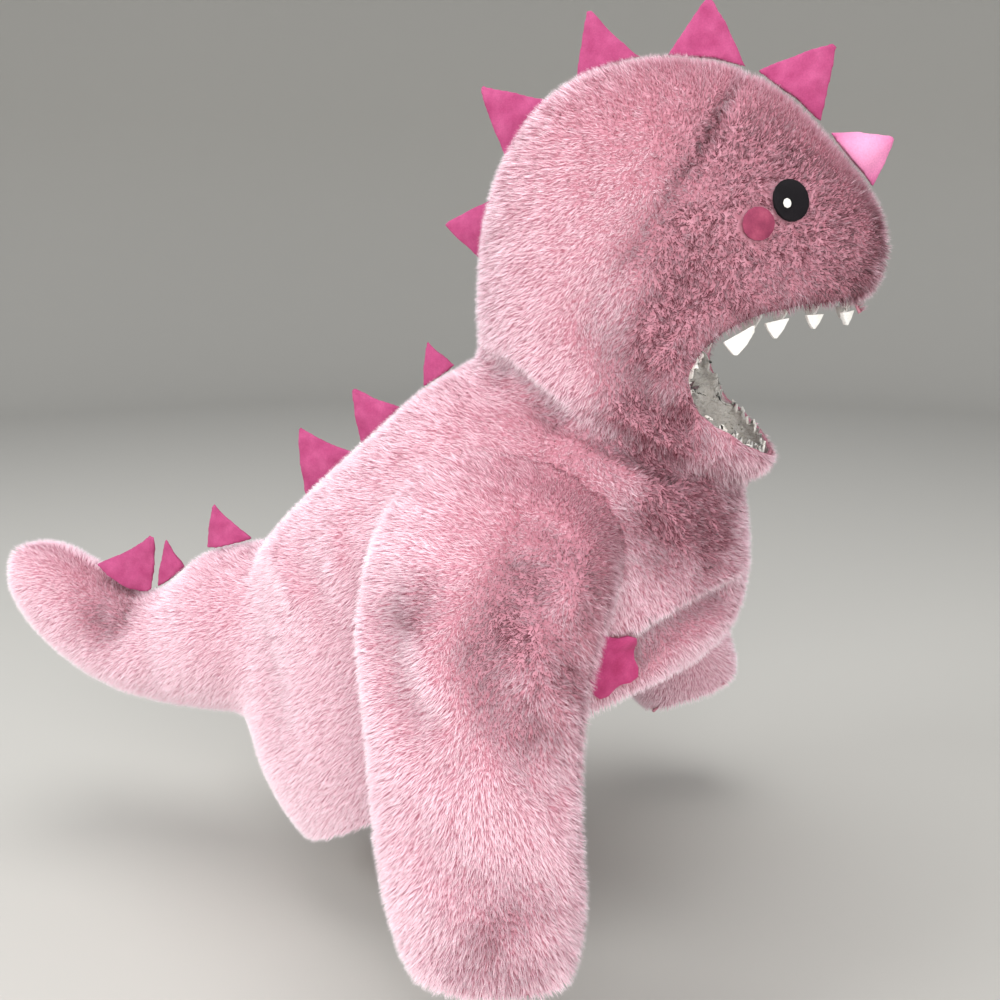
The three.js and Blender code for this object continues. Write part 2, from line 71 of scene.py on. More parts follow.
# The lining's short curly fleece
FLEECE_LENGTH = 3.6 * MM
FLEECE_BLADES = 34000
FLEECE_WIDTH = 1.3 * MM
FLEECE_TUFT_STEP = 2.6 * MM
FLEECE_LEAN = 0.5
FLEECE_PULL = 0.7
FLEECE_SHADE = 0.15
FLEECE_SEED = 7
FLEECE_COMB = (0.0, 0.3, -1.0)
FLEECE_HABIT = {"wild": 0.7, "tuft_wild": 0.9, "swirl": 0.7, "swirl_size": 6 * MM}

HOOD_PANELS = ("hood_back_right", "hood_back_left", "muzzle_right", "muzzle_left")
BODY_PANELS = ("back_right", "back_left", "front_right", "front_left")
SLEEVES = ("sleeve_right", "sleeve_left")
PLUSH = HOOD_PANELS + BODY_PANELS + SLEEVES + ("tail",)

# Lines down the middle of each hollow form, in mm: a face that looks away from its line is on the outside
HOOD_CORE = [(0, -112, 112), (0, -55, 112), (0, -30, 40), (0, -30, -25)]
BODY_CORE = [(0, -10, -20), (0, 25, -75), (0, 60, -140), (0, 75, -270)]
CORES = {
    "hood": HOOD_CORE,
    "body": BODY_CORE,
    "sleeve_right": [(-80, 34, -52), (-121, 33, -72), (-149, 33, -106), (-162, 31, -150), (-168, 26, -215),
                     (-169, 18, -300)],
    "sleeve_left": [(80, 31, -52), (121, 25, -72), (149, 14, -106), (163, -3, -146), (172, -31, -205),
                    (175, -60, -265)],
    "tail": [(0, 190, -150), (0, 244, -161), (0, 283, -175), (0, 322, -184), (0, 358, -176), (0, 400, -149),
             (0, 440, -118)],
}

# Creases pressed into the skin: depth (a ridge when negative), width and path, all in mm
NECK = [(-30, 56, 44), (-56, 51, 36), (-72, 43, 36), (-80, 27, 27), (-83, 12, 18), (-81, -5, 8),
        (-83, -22, 0), (-79, -41, -8), (-69, -59, -18), (-49, -78, -27), (-24, -95, -34), (0, -101, -36)]
COWL_WIDER = 1.04           # the swell above the neck's crease is this much wider and 12 mm higher
COWL_HIGHER = 12
COWL = [(x * COWL_WIDER, y, z + COWL_HIGHER) for x, y, z in NECK[3:]]
JAW = [(-100, -14, 68), (-97, -31, 39), (-91, -47, 21), (-81, -62, 5), (-72, -76, 0)]
BOTH_SIDES = [
    (7.0, 6, NECK),
    (-2.6, 8, COWL),
    (6.0, 10, JAW),
    (-2.4, 9, [(-102, -8, 40), (-97, -26, 18), (-86, -46, 4)]),
]
LEFT_SHIFT = (3, -2)        # the left copies lie this much further back and lower
LEFT_COPIES = [
    (deep, width, [(-x, y + LEFT_SHIFT[0], z + LEFT_SHIFT[1]) for x, y, z in path])
    for deep, width, path in BOTH_SIDES
]
CREASES = BOTH_SIDES + LEFT_COPIES + [
    # right sleeve: from the shoulder down to the elbow, and behind it
    (6.5, 14, [(-150, -1, -42), (-168, 7, -58), (-178, 14, -76), (-187, 19, -94), (-191, 14, -113),
               (-192, -2, -137), (-184, -16, -150)]),
    (5.5, 13, [(-161, 86, -69), (-178, 73, -92), (-189, 62, -114), (-195, 50, -125), (-200, 37, -137)]),
    (4.5, 8, [(-160, 0, -52), (-167, -6, -66), (-168, -17, -85), (-162, -26, -98)]),
    (-3.0, 11, [(-136, -30, -54), (-157, -23, -69), (-169, -16, -87), (-179, -14, -104)]),
    (-3.0, 12, [(-176, 54, -70), (-189, 48, -96), (-198, 38, -123)]),
    (-2.6, 12, [(-190, -10, -122), (-196, 8, -150), (-200, 26, -172)]),
    (2.6, 14, [(-204, 60, -176), (-207, 24, -204), (-197, -12, -216)]),
    (-2.0, 14, [(-203, 58, -206), (-207, 24, -232), (-197, -12, -244)]),
    # left sleeve
    (5.5, 13, [(160, 70, -56), (180, 56, -76), (190, 42, -100), (196, 20, -128)]),
    (5.0, 12, [(168, -6, -56), (189, -16, -92), (190, -40, -124), (182, -60, -146)]),
    (-2.6, 12, [(178, 24, -66), (193, 10, -98), (201, -10, -134)]),
    (2.2, 14, [(204, 4, -168), (206, -26, -194), (200, -58, -204)]),
    # chest: the belly folds over above the hem
    (-4.0, 8, [(-80, -52, -107), (-73, -60, -102), (-65, -71, -96), (-46, -90, -90), (-24, -102, -86)]),
    (11.0, 9, [(-84, -40, -134), (-78, -46, -127), (-70, -55, -116), (-59, -71, -106), (-44, -85, -100),
               (-22, -99, -98)]),
    (3.0, 9, [(-91, -46, -40), (-80, -58, -56), (-78, -62, -80)]),
    (2.6, 9, [(-66, -76, -40), (-60, -84, -58), (-58, -84, -78)]),
    (-4.0, 8, [(87, -36, -118), (78, -56, -106), (64, -74, -96), (44, -92, -90)]),
    (8.0, 7, [(84, -42, -130), (72, -56, -116), (58, -73, -105), (40, -88, -100)]),
    (2.6, 9, [(74, -66, -44), (66, -78, -62), (64, -80, -84)]),
    # rump and back
    (-3.6, 9, [(-88, 140, -48), (-98, 134, -66), (-106, 128, -92)]),
    (-3.8, 9, [(-61, 196, -78), (-90, 171, -95), (-101, 156, -112)]),
    (3.0, 10, [(-80, 168, -72), (-98, 146, -90), (-106, 134, -112)]),
    (2.6, 14, [(-60, 200, -120), (-86, 190, -160), (-90, 182, -205)]),
    (-3.4, 9, [(36, 214, -82), (84, 176, -97), (103, 152, -122)]),
    (2.6, 12, [(76, 172, -70), (98, 146, -92), (106, 132, -118)]),
    (2.4, 14, [(62, 198, -124), (86, 188, -170), (88, 180, -214)]),
    # muzzle and brow
    (3.6, 12, [(-86, -74, 94), (-91, -61, 76), (-94, -46, 60)]),
    (2.4, 11, [(-74, -68, 152), (-85, -58, 131), (-93, -46, 108)]),
    (3.4, 12, [(88, -70, 92), (93, -56, 72), (95, -44, 58)]),
    (2.2, 11, [(76, -64, 150), (87, -55, 128), (94, -44, 106)]),
    # tail
    (2.4, 9, [(-28, 304, -150), (-45, 300, -180), (-36, 306, -208)]),
    (2.0, 9, [(30, 338, -160), (40, 334, -186), (30, 332, -208)]),
    (3.0, 9, [(-14, 362, -140), (-32, 350, -158), (-40, 336, -176)]),
]
# The seam between the hood's back and its muzzle, seen from the side: y and z
HOOD_SEAM = [(-86, 206), (-84, 194), (-67, 152), (-44, 114), (-22, 80), (-12, 60), (-5, 38), (2, 18), (4, 8)]
HOOD_SEAM_DEPTH = 3.6
HOOD_SEAM_WIDTH = 2.6
HOOD_SEAM_DEEPEST = 168     # height at which the seam draws the pile in most
HOOD_SEAM_FADE = 24         # and the height over which it fades from there
HOOD_SEAM_EVEN = 0.3        # share of its depth that the seam keeps all along
HOOD_SEAM_FOOT = 6          # height at which it ends
CREASE_END = 14.0           # a crease fades over this length at its ends
CREASE_END_SHARE = 0.35     # and keeps this share of its depth there
HOLLOW_DEPTH = 7.0          # a crease this deep counts as fully hollow, and its pile gets the full painted shade
FACING_OUT = 0.12           # a skin face is outside when its normal leans this much away from the core line

# How the pile lies: places and distances in mm, directions as parts of x, y and z
HOOD_COMB = (0, 0.55, -0.85)
BODY_COMB = (0, 0.62, -0.78)
TAIL_COMB = (0, 0.75, -0.65)
SNOUT = (-60, -120)         # from one y to the other, the hood's pile turns back
SNOUT_BACK = 0.8
COLLAR_HEIGHT = (25, -5)    # from one z to the other, and from one y to the other, the collar's turns forward
COLLAR_DEPTH = (10, -50)
COLLAR_FORWARD = 0.7
CHEST = (20, -40)           # from one y to the other, the body's pile turns forward
CHEST_FORWARD = 0.75
FOREARM = (-60, -180)       # from one z to the other, the sleeve's pile turns down
SLEEVE_HALF = 40            # half the width of a sleeve, over which its pile spreads to the sides
EYE_MIDDLE = np.array([0.0, -113, 126])
EYE_RUB_REACH = 17.0        # the pile behind the eye lies towards it, within this distance
EYE_RUB_STRENGTH = 3.0
EYE_REAR = -4               # from this far behind the eye's middle
SEAM_PARTING = 0.3          # how far the pile parts along the centre seam
SEAM_REACH = 9              # distance from the seam over which the parting fades
SEAM_FRONT = -165           # the seam ends in front at this y

# Places where the pile is rubbed up into rough tufts and darkened with painted shade: spot, radius and share,
# in mm, on both sides
RUFFLED_AND_SHADED = [
    ((-90, -78, 86), 44, 1.15),
    ((-66, -96, 146), 40, 1.15),
    ((-45, -146, 98), 42, 1.15),
    ((-97, -48, 58), 24, 0.5),
    ((-88, -46, 12), 32, 1.0),
    ((-72, -68, -38), 40, 0.85),
    ((-55, -82, -58), 36, 0.6),
    ((-160, -19, -53), 28, 0.65),
    ((-185, -5, -82), 32, 0.9),
    ((-186, -17, -118), 30, 0.6),
    ((-178, 63, -72), 22, 0.6),
    ((-200, 6, -240), 38, 0.5),
    ((-20, 345, -150), 28, 0.6),
]
RUFFLE_UNEVEN = 0.9         # how much rougher patches with more painted shade and smoother ones differ within these places
RUFFLE_PATCH = 19.0         # size of those patches

# How a blade changes from smooth to ruffled pile, each as a share of the smooth value
RUFFLED_SWIRL = 0.7
RUFFLED_LEAN = -0.4
RUFFLED_WILD = 0.35
RUFFLED_TUFTS = -0.3
RUFFLED_PULL = 0.6

# Tone of a blade, 0 dark to 1 light: a range of its own, and a share of its tuft's. The rough tones are
# painted shade
SMOOTH_TONE = (0.5, 0.8)
SMOOTH_TUFT_TONE = 0.2
ROUGH_PAINTED_SHADE_TONE = (-0.14, 0.12)
ROUGH_PAINTED_SHADE_TUFT_TONE = 0.3
CREASE_PAINTED_SHADE = -0.45         # painted shade: a blade deep in a crease loses this share of its tone

BLADE_LENGTHS = (0.72, 1.18)    # shortest and longest blade, as shares of the pile's length
BLADE_PULLS = (0.7, 1.25)       # least and most pull towards a tuft, as shares of the pull
BLADE_TWIST = 0.5               # how far a blade turns about its own length, in radians
MAP_TONE = 0.94                 # width of the tones in the blade's map
MAP_MARGIN = 0.03
MAP_HALF = 0.015                # half of a blade's own width in the map
PILE_FIELDS = ("comb", "cover", "hollow", "ruffle", "up_from_skin", "aim", "reach", "across", "root", "tone",
               "corner", "id")

# Felt shapes and padded spikes
FELT_SHAPES = ("eye_right", "eye_left", "cheek_right", "cheek_left", "patch_right")
FELT_LIFT = 1.0 * MM        # height above the pile's top at which nearness to a felt shape counts
FELT_HALF = 0.95 * MM       # half the thickness of a felt shape
FELT_EDGE = 0.8 * MM        # the pile thins out over this width at a felt shape's edge
SPIKE_STEP = 1.2 * MM
SPIKE_DENT = 0.7 * MM       # height of the soft dents in a spike's sides
SPIKE_DENT_SIZE = 9.0       # in mm
SPIKE_SEAM = 0.7 * MM       # depth of the seam round a spike's edge
SPIKE_SEAM_WIDTH = 0.9 * MM
FELT_SINK = 1.0 * MM        # how far the face's shapes sink into the pile
FELT_BEVEL = 0.5 * MM
GLINT_BEVEL = 0.25 * MM
TOOTH_BEVEL = 0.6 * MM
SPIKES = 12
TEETH_A_SIDE = 4

# Hood lining
LINING_DEPTH = 8.6 * MM - PILE_SINK     # from the skin to the middle of the lining
LINING_THICK = 1.4 * MM
LINING_ROLL = 5.0 * MM                  # how far the lining's edge rolls out past the plush
LINING_NEAR = 3.5 * MM                  # skin this close to the lining's solid carries the lining

# Studio: a round floor that turns up into a wall, with sizes in metres
FLOOR_Z = -0.335
FLOOR_FLAT = (0.4, 2.6)     # radius of the middle disc and of the flat floor
FLOOR_BEND = 0.9
FLOOR_BEND_STEPS = 12
WALL_TOP = 2.6
FLOOR_SIDES = 96
LAMP_TARGET = (0.0, 0.08, -0.05)
# Name, place, size, power in watts and colour of each lamp
LAMPS = [
    ("window_behind", (-1.0, 1.5, 0.95), 1.1, 20, (0.97, 0.985, 1.0)),
    ("room_camera", (-1.6, -0.35, 0.38), 1.8, 35, (1.0, 0.99, 0.99)),
    ("room_front", (-0.2, -1.5, 0.5), 1.4, 3, (1.0, 0.99, 0.99)),
    ("room_top", (0.0, 0.2, 1.9), 1.6, 24, (1.0, 0.995, 0.99)),
]
PAPER = (186, 184, 178)
ROOM_COLOR = (0.9, 0.93, 1.0, 1)
ROOM_LIGHT = 0.6
CAMERA_PLACE = (-0.6588, -0.1165, 0.0995)
CAMERA_VIEW = (0.9410, 0.2521, -0.2250)
CAMERA_LENS = 38.52
CAMERA_SENSOR = 36


def core_of(node):
    """The middle line of the form that a plush node belongs to."""
    if node in HOOD_PANELS:
        return CORES["hood"]
    if node in BODY_PANELS:
        return CORES["body"]
    return CORES[node]


def nearest_on_line(points, line):
    """For each point, the nearest point of a polyline."""
    best = np.full(len(points), np.inf)
    found = np.zeros((len(points), 3))
    for start, end in zip(line[:-1], line[1:]):
        start = np.array(start, float)
        run = np.array(end, float) - start
        share = np.clip((points - start) @ run / (run @ run), 0, 1)
        foot = start + share[:, None] * run
        distance = np.linalg.norm(points - foot, axis=1)
        closer = distance < best
        best[closer] = distance[closer]
        found[closer] = foot[closer]
    return found, best


def unit(vectors):
    length = np.linalg.norm(vectors, axis=1, keepdims=True)
    return vectors / np.maximum(length, 1e-12)


def merged(node):
    """Corners and triangles of a CAD node with its doubles merged."""
    work = bmesh.new()
    work.from_mesh(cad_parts[node].data)
    bmesh.ops.remove_doubles(work, verts=work.verts, dist=1e-6)
    work.verts.index_update()
    corners = np.array([v.co for v in work.verts])
    normals = np.array([v.normal for v in work.verts])
    triangles = np.array([[v.index for v in face.verts] for face in work.faces])
    work.free()
    return corners, normals, triangles


def placed(name, data):
    """A new object in the scene, at the origin."""
    made = bpy.data.objects.new(name, data)
    bpy.context.scene.collection.objects.link(made)
    return made


def mesh_object(name, corners, faces):
    mesh = bpy.data.meshes.new(name)
    mesh.from_pydata(corners, [], faces)
    mesh.update()
    return placed(name, mesh)


def finished(source, name):
    """The evaluated mesh of an object as a plain object, with the source removed."""
    graph = bpy.context.evaluated_depsgraph_get()
    mesh = bpy.data.meshes.new_from_object(source.evaluated_get(graph), depsgraph=graph)
    bpy.data.objects.remove(source)
    mesh.name = name
    return placed(name, mesh)


def voxel_copy(name, parts, step):
    """One closed mesh round several closed parts."""
    corners = np.concatenate([part[0] for part in parts])
    starts = np.cumsum([0] + [len(part[0]) for part in parts[:-1]])
    faces = np.concatenate([part[1] + start for part, start in zip(parts, starts)])
    source = mesh_object(name, corners, faces)
    remesh = source.modifiers.new("voxels", "REMESH")
    remesh.mode = "VOXEL"
    remesh.voxel_size = step
    return finished(source, name)


def field_of(rows, name, kind=np.float32):
    """One number from each row of a mesh's list."""
    found = np.zeros(len(rows), kind)
    rows.foreach_get(name, found)
    return found


def vectors_of(rows, name):
    """One vector from each row of a mesh's list."""
    found = np.zeros(len(rows) * 3, np.float32)
    rows.foreach_get(name, found)
    return found.reshape(-1, 3).astype(float)


def corners_of(mesh):
    return vectors_of(mesh.vertices, "co")


def normals_of(mesh):
    return vectors_of(mesh.vertex_normals, "vector")


def set_corners(mesh, corners):
    mesh.vertices.foreach_set("co", corners.astype(np.float32).ravel())
    mesh.update()


def smooth_faces(mesh):
    mesh.polygons.foreach_set("use_smooth", np.ones(len(mesh.polygons), bool))


def edges_of(mesh):
    """The two corners of each edge."""
    found = np.zeros(len(mesh.edges) * 2, np.int32)
    mesh.edges.foreach_get("vertices", found)
    return found.reshape(-1, 2)


def border_edges(mesh):
    """Edges that only one face uses."""
    uses = np.bincount(field_of(mesh.loops, "edge_index", np.int32), minlength=len(mesh.edges))
    return uses == 1


def relax(mesh, rounds, share=0.5, border_rounds=0):
    """Evens out a surface. Its free edges only move along themselves."""
    edges = edges_of(mesh)
    border = border_edges(mesh)
    corners = corners_of(mesh)
    on_border = np.zeros(len(corners), bool)
    on_border[edges[border].ravel()] = True

    def spread(pairs, movable, times):
        nonlocal corners
        count = np.bincount(pairs.ravel(), minlength=len(corners)).astype(float)
        use = movable & (count > 0)
        for _ in range(times):
            total = np.zeros_like(corners)
            for axis in range(3):
                total[:, axis] = (
                    np.bincount(pairs[:, 0], corners[pairs[:, 1], axis], len(corners))
                    + np.bincount(pairs[:, 1], corners[pairs[:, 0], axis], len(corners))
                )
            mean = total[use] / count[use, None]
            corners[use] += (mean - corners[use]) * share

    spread(edges[border], on_border, border_rounds)
    spread(edges, ~on_border, rounds)
    set_corners(mesh, corners)


def keep_faces(mesh, keep):
    """Deletes the faces that aren't kept, and all but the largest island of the rest."""
    work = bmesh.new()
    work.from_mesh(mesh)
    work.faces.ensure_lookup_table()
    bmesh.ops.delete(work, geom=[work.faces[i] for i in np.nonzero(~keep)[0]], context="FACES")
    seen = set()
    islands = []
    for face in work.faces:
        if face in seen:
            continue
        island = []
        waiting = [face]
        seen.add(face)
        while waiting:
            here = waiting.pop()
            island.append(here)
            for edge in here.edges:
                for other in edge.link_faces:
                    if other not in seen:
                        seen.add(other)
                        waiting.append(other)
        islands.append(island)
    islands.sort(key=len)
    bmesh.ops.delete(work, geom=[f for island in islands[:-1] for f in island], context="FACES")
    work.to_mesh(mesh)
    work.free()
    mesh.update()


def face_data(mesh, name):
    return vectors_of(mesh.polygons, name)


class PanelMap:
    """Tells which of some nodes lies nearest to a point, and how far away."""

    def __init__(self, nodes):
        corners = []
        faces = []
        self.owner = []
        for index, node in enumerate(nodes):
            own_corners, _, own_faces = merged(node)
            start = sum(len(part) for part in corners)
            corners.append(own_corners)
            faces.extend((own_faces + start).tolist())
            self.owner.extend([index] * len(own_faces))
        self.tree = BVHTree.FromPolygons(np.concatenate(corners).tolist(), faces)

    def owners(self, points):
        return np.array([self.owner[self.tree.find_nearest(p)[2]] for p in points.tolist()])

    def distances(self, points):
        return np.array([self.tree.find_nearest(p)[3] for p in points.tolist()])


def press_creases(mesh):
    """Presses the creases and the hood's seam into the skin, and keeps their depth for the painted shade of
    the pile in them.
    """
    corners = corners_of(mesh)
    normals = normals_of(mesh)
    points = corners / MM
    depth = np.zeros(len(points))
    for deep, width, path in CREASES:
        _, distance = nearest_on_line(points, path)
        ends = np.minimum(
            np.linalg.norm(points - np.array(path[0], float), axis=1),
            np.linalg.norm(points - np.array(path[-1], float), axis=1),
        )
        fade = np.clip(ends / CREASE_END, CREASE_END_SHARE, 1)
        depth += deep * fade * np.exp(-((distance / width) ** 2))
    seam = [(0, y, z) for y, z in HOOD_SEAM]
    flat = points * np.array([0.0, 1, 1])
    _, distance = nearest_on_line(flat, seam)
    height = points[:, 2]
    deepest = np.exp(-(((height - HOOD_SEAM_DEEPEST) / HOOD_SEAM_FADE) ** 2))
    pucker = HOOD_SEAM_EVEN + (1 - HOOD_SEAM_EVEN) * deepest
    drawn_in = HOOD_SEAM_DEPTH * pucker * np.exp(-((distance / HOOD_SEAM_WIDTH) ** 2))
    depth += np.where(height > HOOD_SEAM_FOOT, drawn_in, 0)
    set_corners(mesh, corners - normals * (depth * MM)[:, None])
    # The crease depth also sets the painted shade that darkens the pile in creases and along the seam
    add_fields(mesh, hollow=np.clip(depth / HOLLOW_DEPTH, 0, 1))


def make_skin():
    """One smooth skin over the outside of all the plush panels, with the owner of each face."""
    parts = []
    for node in PLUSH:
        corners, normals, triangles = merged(node)
        parts.append((corners + normals * SEAM_CLOSE, triangles))
    skin = voxel_copy("skin", parts, CLOTH_STEP)
    mesh = skin.data
    panels = PanelMap(PLUSH)
    centers = face_data(mesh, "center")
    facing = face_data(mesh, "normal")
    owner = panels.owners(centers)
    outward = np.zeros(len(centers))
    for index, node in enumerate(PLUSH):
        mine = owner == index
        foot, _ = nearest_on_line(centers[mine] / MM, core_of(node))
        outward[mine] = np.sum(unit(centers[mine] / MM - foot) * facing[mine], axis=1)
    keep_faces(mesh, outward > FACING_OUT)
    relax(mesh, 2, border_rounds=EDGE_ROUNDS)
    relax(mesh, SKIN_ROUNDS)
    press_creases(mesh)
    relax(mesh, 1)
    owner = panels.owners(face_data(mesh, "center"))
    set_corners(mesh, corners_of(mesh) - normals_of(mesh) * PILE_SINK)
    return skin, owner


def ruffle_field(points):
    """How far the pile is rubbed up at each point, and how much painted shade darkens it: 0 lies smooth, 1
    stands in dark tufts. Points are in mm.
    """
    folded = points * np.array([-1.0, 1, 1])
    folded[:, 0] = -np.abs(points[:, 0])
    rough_and_shaded = 0
    for spot, radius, share in RUFFLED_AND_SHADED:
        away = np.linalg.norm(folded - np.array(spot, float), axis=1)
        rough_and_shaded = rough_and_shaded + share * np.exp(-(away / radius) ** 3)
    patchy = np.array([noise.noise(Vector(p) / RUFFLE_PATCH) for p in points])
    return np.clip(rough_and_shaded * (1 + RUFFLE_UNEVEN * patchy), 0, 1)


def rise(value, start, end):
    """0 at the start, 1 at the end and beyond, in a straight line between."""
    return np.clip((value - start) / (end - start), 0, 1)


def comb_field(node, points, normals):
    """Direction in which a panel's pile is combed at each point, along the surface. Points are in mm."""
    x, y, z = points.T
    comb = np.zeros_like(points)
    if node in HOOD_PANELS:
        comb[:] = HOOD_COMB
        comb[:, 1] += SNOUT_BACK * rise(y, *SNOUT)
        comb[:, 1] -= COLLAR_FORWARD * rise(z, *COLLAR_HEIGHT) * rise(y, *COLLAR_DEPTH)
        to_eye = EYE_MIDDLE - points * np.array([0.0, 1, 1])
        behind = np.exp(-np.sum(to_eye ** 2, axis=1) / EYE_RUB_REACH ** 2) * (to_eye[:, 1] < EYE_REAR)
        comb += EYE_RUB_STRENGTH * behind[:, None] * unit(to_eye)
    elif node == "tail":
        comb[:] = TAIL_COMB
    elif node in SLEEVES:
        side = -1 if node == "sleeve_right" else 1
        middle, _ = nearest_on_line(points, CORES[node])
        spread = np.clip((y - middle[:, 1]) / SLEEVE_HALF, -1, 1)
        low = rise(z, *FOREARM)
        comb[:] = (0.25 * side, 0, -1)
        comb[:, 1] = 0.75 * (1 - low) + spread * (0.35 + 0.3 * low)
        comb[:, 2] = -0.35 - 0.65 * low
    else:
        comb[:] = BODY_COMB
        comb[:, 1] -= CHEST_FORWARD * rise(y, *CHEST)
    if node not in SLEEVES:
        seam = np.exp(-np.abs(x) / SEAM_REACH) * (y > SEAM_FRONT)
        comb[:, 0] += np.sign(x) * seam * SEAM_PARTING
    comb -= normals * np.sum(comb * normals, axis=1, keepdims=True)
    return unit(comb)


def cover_field(corners, normals):
    """Share of the full pile at each corner: none under the felt shapes."""
    felts = PanelMap(FELT_SHAPES)
    apart = felts.distances(corners + normals * (PILE_SINK + FELT_LIFT))
    return np.clip((apart - FELT_HALF) / FELT_EDGE, 0, 1)


def add_fields(mesh, **fields):
    """Stores a number or a vector at each corner, under each name."""
    for name, values in fields.items():
        values = np.asarray(values, np.float32)
        kind, key = ("FLOAT", "value") if values.ndim == 1 else ("FLOAT_VECTOR", "vector")
        mesh.attributes.new(name, kind, "POINT").data.foreach_set(key, values.ravel())


def drop_attributes(mesh):
    """Removes the fields that only serve the pile's nodes."""
    for name in PILE_FIELDS:
        if name in mesh.attributes:
            mesh.attributes.remove(mesh.attributes[name])


def new_node(tree, kind, inputs=None, **settings):
    """A node with its settings, its inputs linked or set, keyed by name or number."""
    node = tree.nodes.new(kind)
    for key, value in settings.items():
        setattr(node, key, value)
    for key, value in (inputs or {}).items():
        if isinstance(key, int):
            socket = node.inputs[key]
        else:
            socket = next(s for s in node.inputs if s.name == key and s.enabled)
        if isinstance(value, bpy.types.NodeSocket):
            tree.links.new(value, socket)
        else:
            socket.default_value = value
    return node


class Tree:
    """A geometry node tree under construction, with named inputs."""

    def __init__(self, name, inputs):
        self.group = bpy.data.node_groups.new(name, "GeometryNodeTree")
        sockets = self.group.interface
        sockets.new_socket("Geometry", in_out="INPUT", socket_type="NodeSocketGeometry")
        self.identifiers = {}
        for label, kind in inputs.items():
            made = sockets.new_socket(label, in_out="INPUT", socket_type=kind)
            self.identifiers[label] = made.identifier
        sockets.new_socket("Geometry", in_out="OUTPUT", socket_type="NodeSocketGeometry")
        self.entry = self.group.nodes.new("NodeGroupInput").outputs

    def add(self, kind, inputs=None, **settings):
        """The first output of a new node."""
        node = new_node(self.group, kind, inputs, **settings)
        return next((s for s in node.outputs if s.enabled), None)

    def math(self, operation, *values):
        return self.add("ShaderNodeMath", dict(enumerate(values)), operation=operation)

    def vector(self, operation, *values):
        return self.add("ShaderNodeVectorMath", dict(enumerate(values)), operation=operation)

    def scaled(self, value, by):
        return self.add("ShaderNodeVectorMath", {0: value, "Scale": by}, operation="SCALE")

    def named(self, name, kind="FLOAT_VECTOR"):
        return self.add("GeometryNodeInputNamedAttribute", {"Name": name}, data_type=kind)

    def stored(self, geometry, name, value, kind="FLOAT_VECTOR", domain="POINT"):
        inputs = {"Geometry": geometry, "Name": name, "Value": value}
        return self.add("GeometryNodeStoreNamedAttribute", inputs, data_type=kind, domain=domain)

    def random(self, low, high, seed):
        return self.add("FunctionNodeRandomValue", {"Min": low, "Max": high, "Seed": seed}, data_type="FLOAT")

    def random_vector(self, reach, seed):
        inputs = {"Min": (-reach,) * 3, "Max": (reach,) * 3, "Seed": seed}
        return self.add("FunctionNodeRandomValue", inputs, data_type="FLOAT_VECTOR")

    def run(self, source, name, values):
        """Runs the tree on an object and returns the result as a plain object."""
        modifier = source.modifiers.new(name, "NODES")
        modifier.node_group = self.group
        for label, value in values.items():
            modifier[self.identifiers[label]] = value
        return finished(source, name)


def blade_shapes(tree, blades, material):
    """A one-triangle blade on each point, from its root along its reach, with its tone in its maps."""
    triangle = tree.add("GeometryNodeMeshCircle", {"Vertices": 3}, fill_type="NGON")
    triangle = tree.stored(triangle, "corner", tree.add("GeometryNodeInputPosition"))
    shapes = tree.add("GeometryNodeInstanceOnPoints", {"Points": blades, "Instance": triangle})
    shapes = tree.add("GeometryNodeRealizeInstances", {"Geometry": shapes})

    # The triangle's tip lies on +X, at 1, and its other corners at -0.5
    corner = tree.add("ShaderNodeSeparateXYZ", {0: tree.named("corner")}).node.outputs
    height = tree.math("DIVIDE", tree.math("ADD", corner[0], 0.5), 1.5)
    sideways = tree.math("DIVIDE", corner[1], math.sqrt(0.75))
    spot = tree.vector("ADD", tree.named("root"), tree.scaled(tree.named("reach"), height))
    spot = tree.vector("ADD", spot, tree.scaled(tree.named("across"), sideways))
    shapes = tree.add("GeometryNodeSetPosition", {"Geometry": shapes, "Position": spot})
    u = tree.math("ADD", tree.math("MULTIPLY_ADD", tree.named("tone", "FLOAT"), MAP_TONE, MAP_MARGIN),
                  tree.math("MULTIPLY", sideways, MAP_HALF))
    uv = tree.add("ShaderNodeCombineXYZ", {0: u, 1: height})
    for layer in ("Fur", "OFBake"):
        shapes = tree.stored(shapes, layer, uv, "FLOAT2", "CORNER")
    return tree.add("GeometryNodeSetMaterial", {"Geometry": shapes, "Material": material})


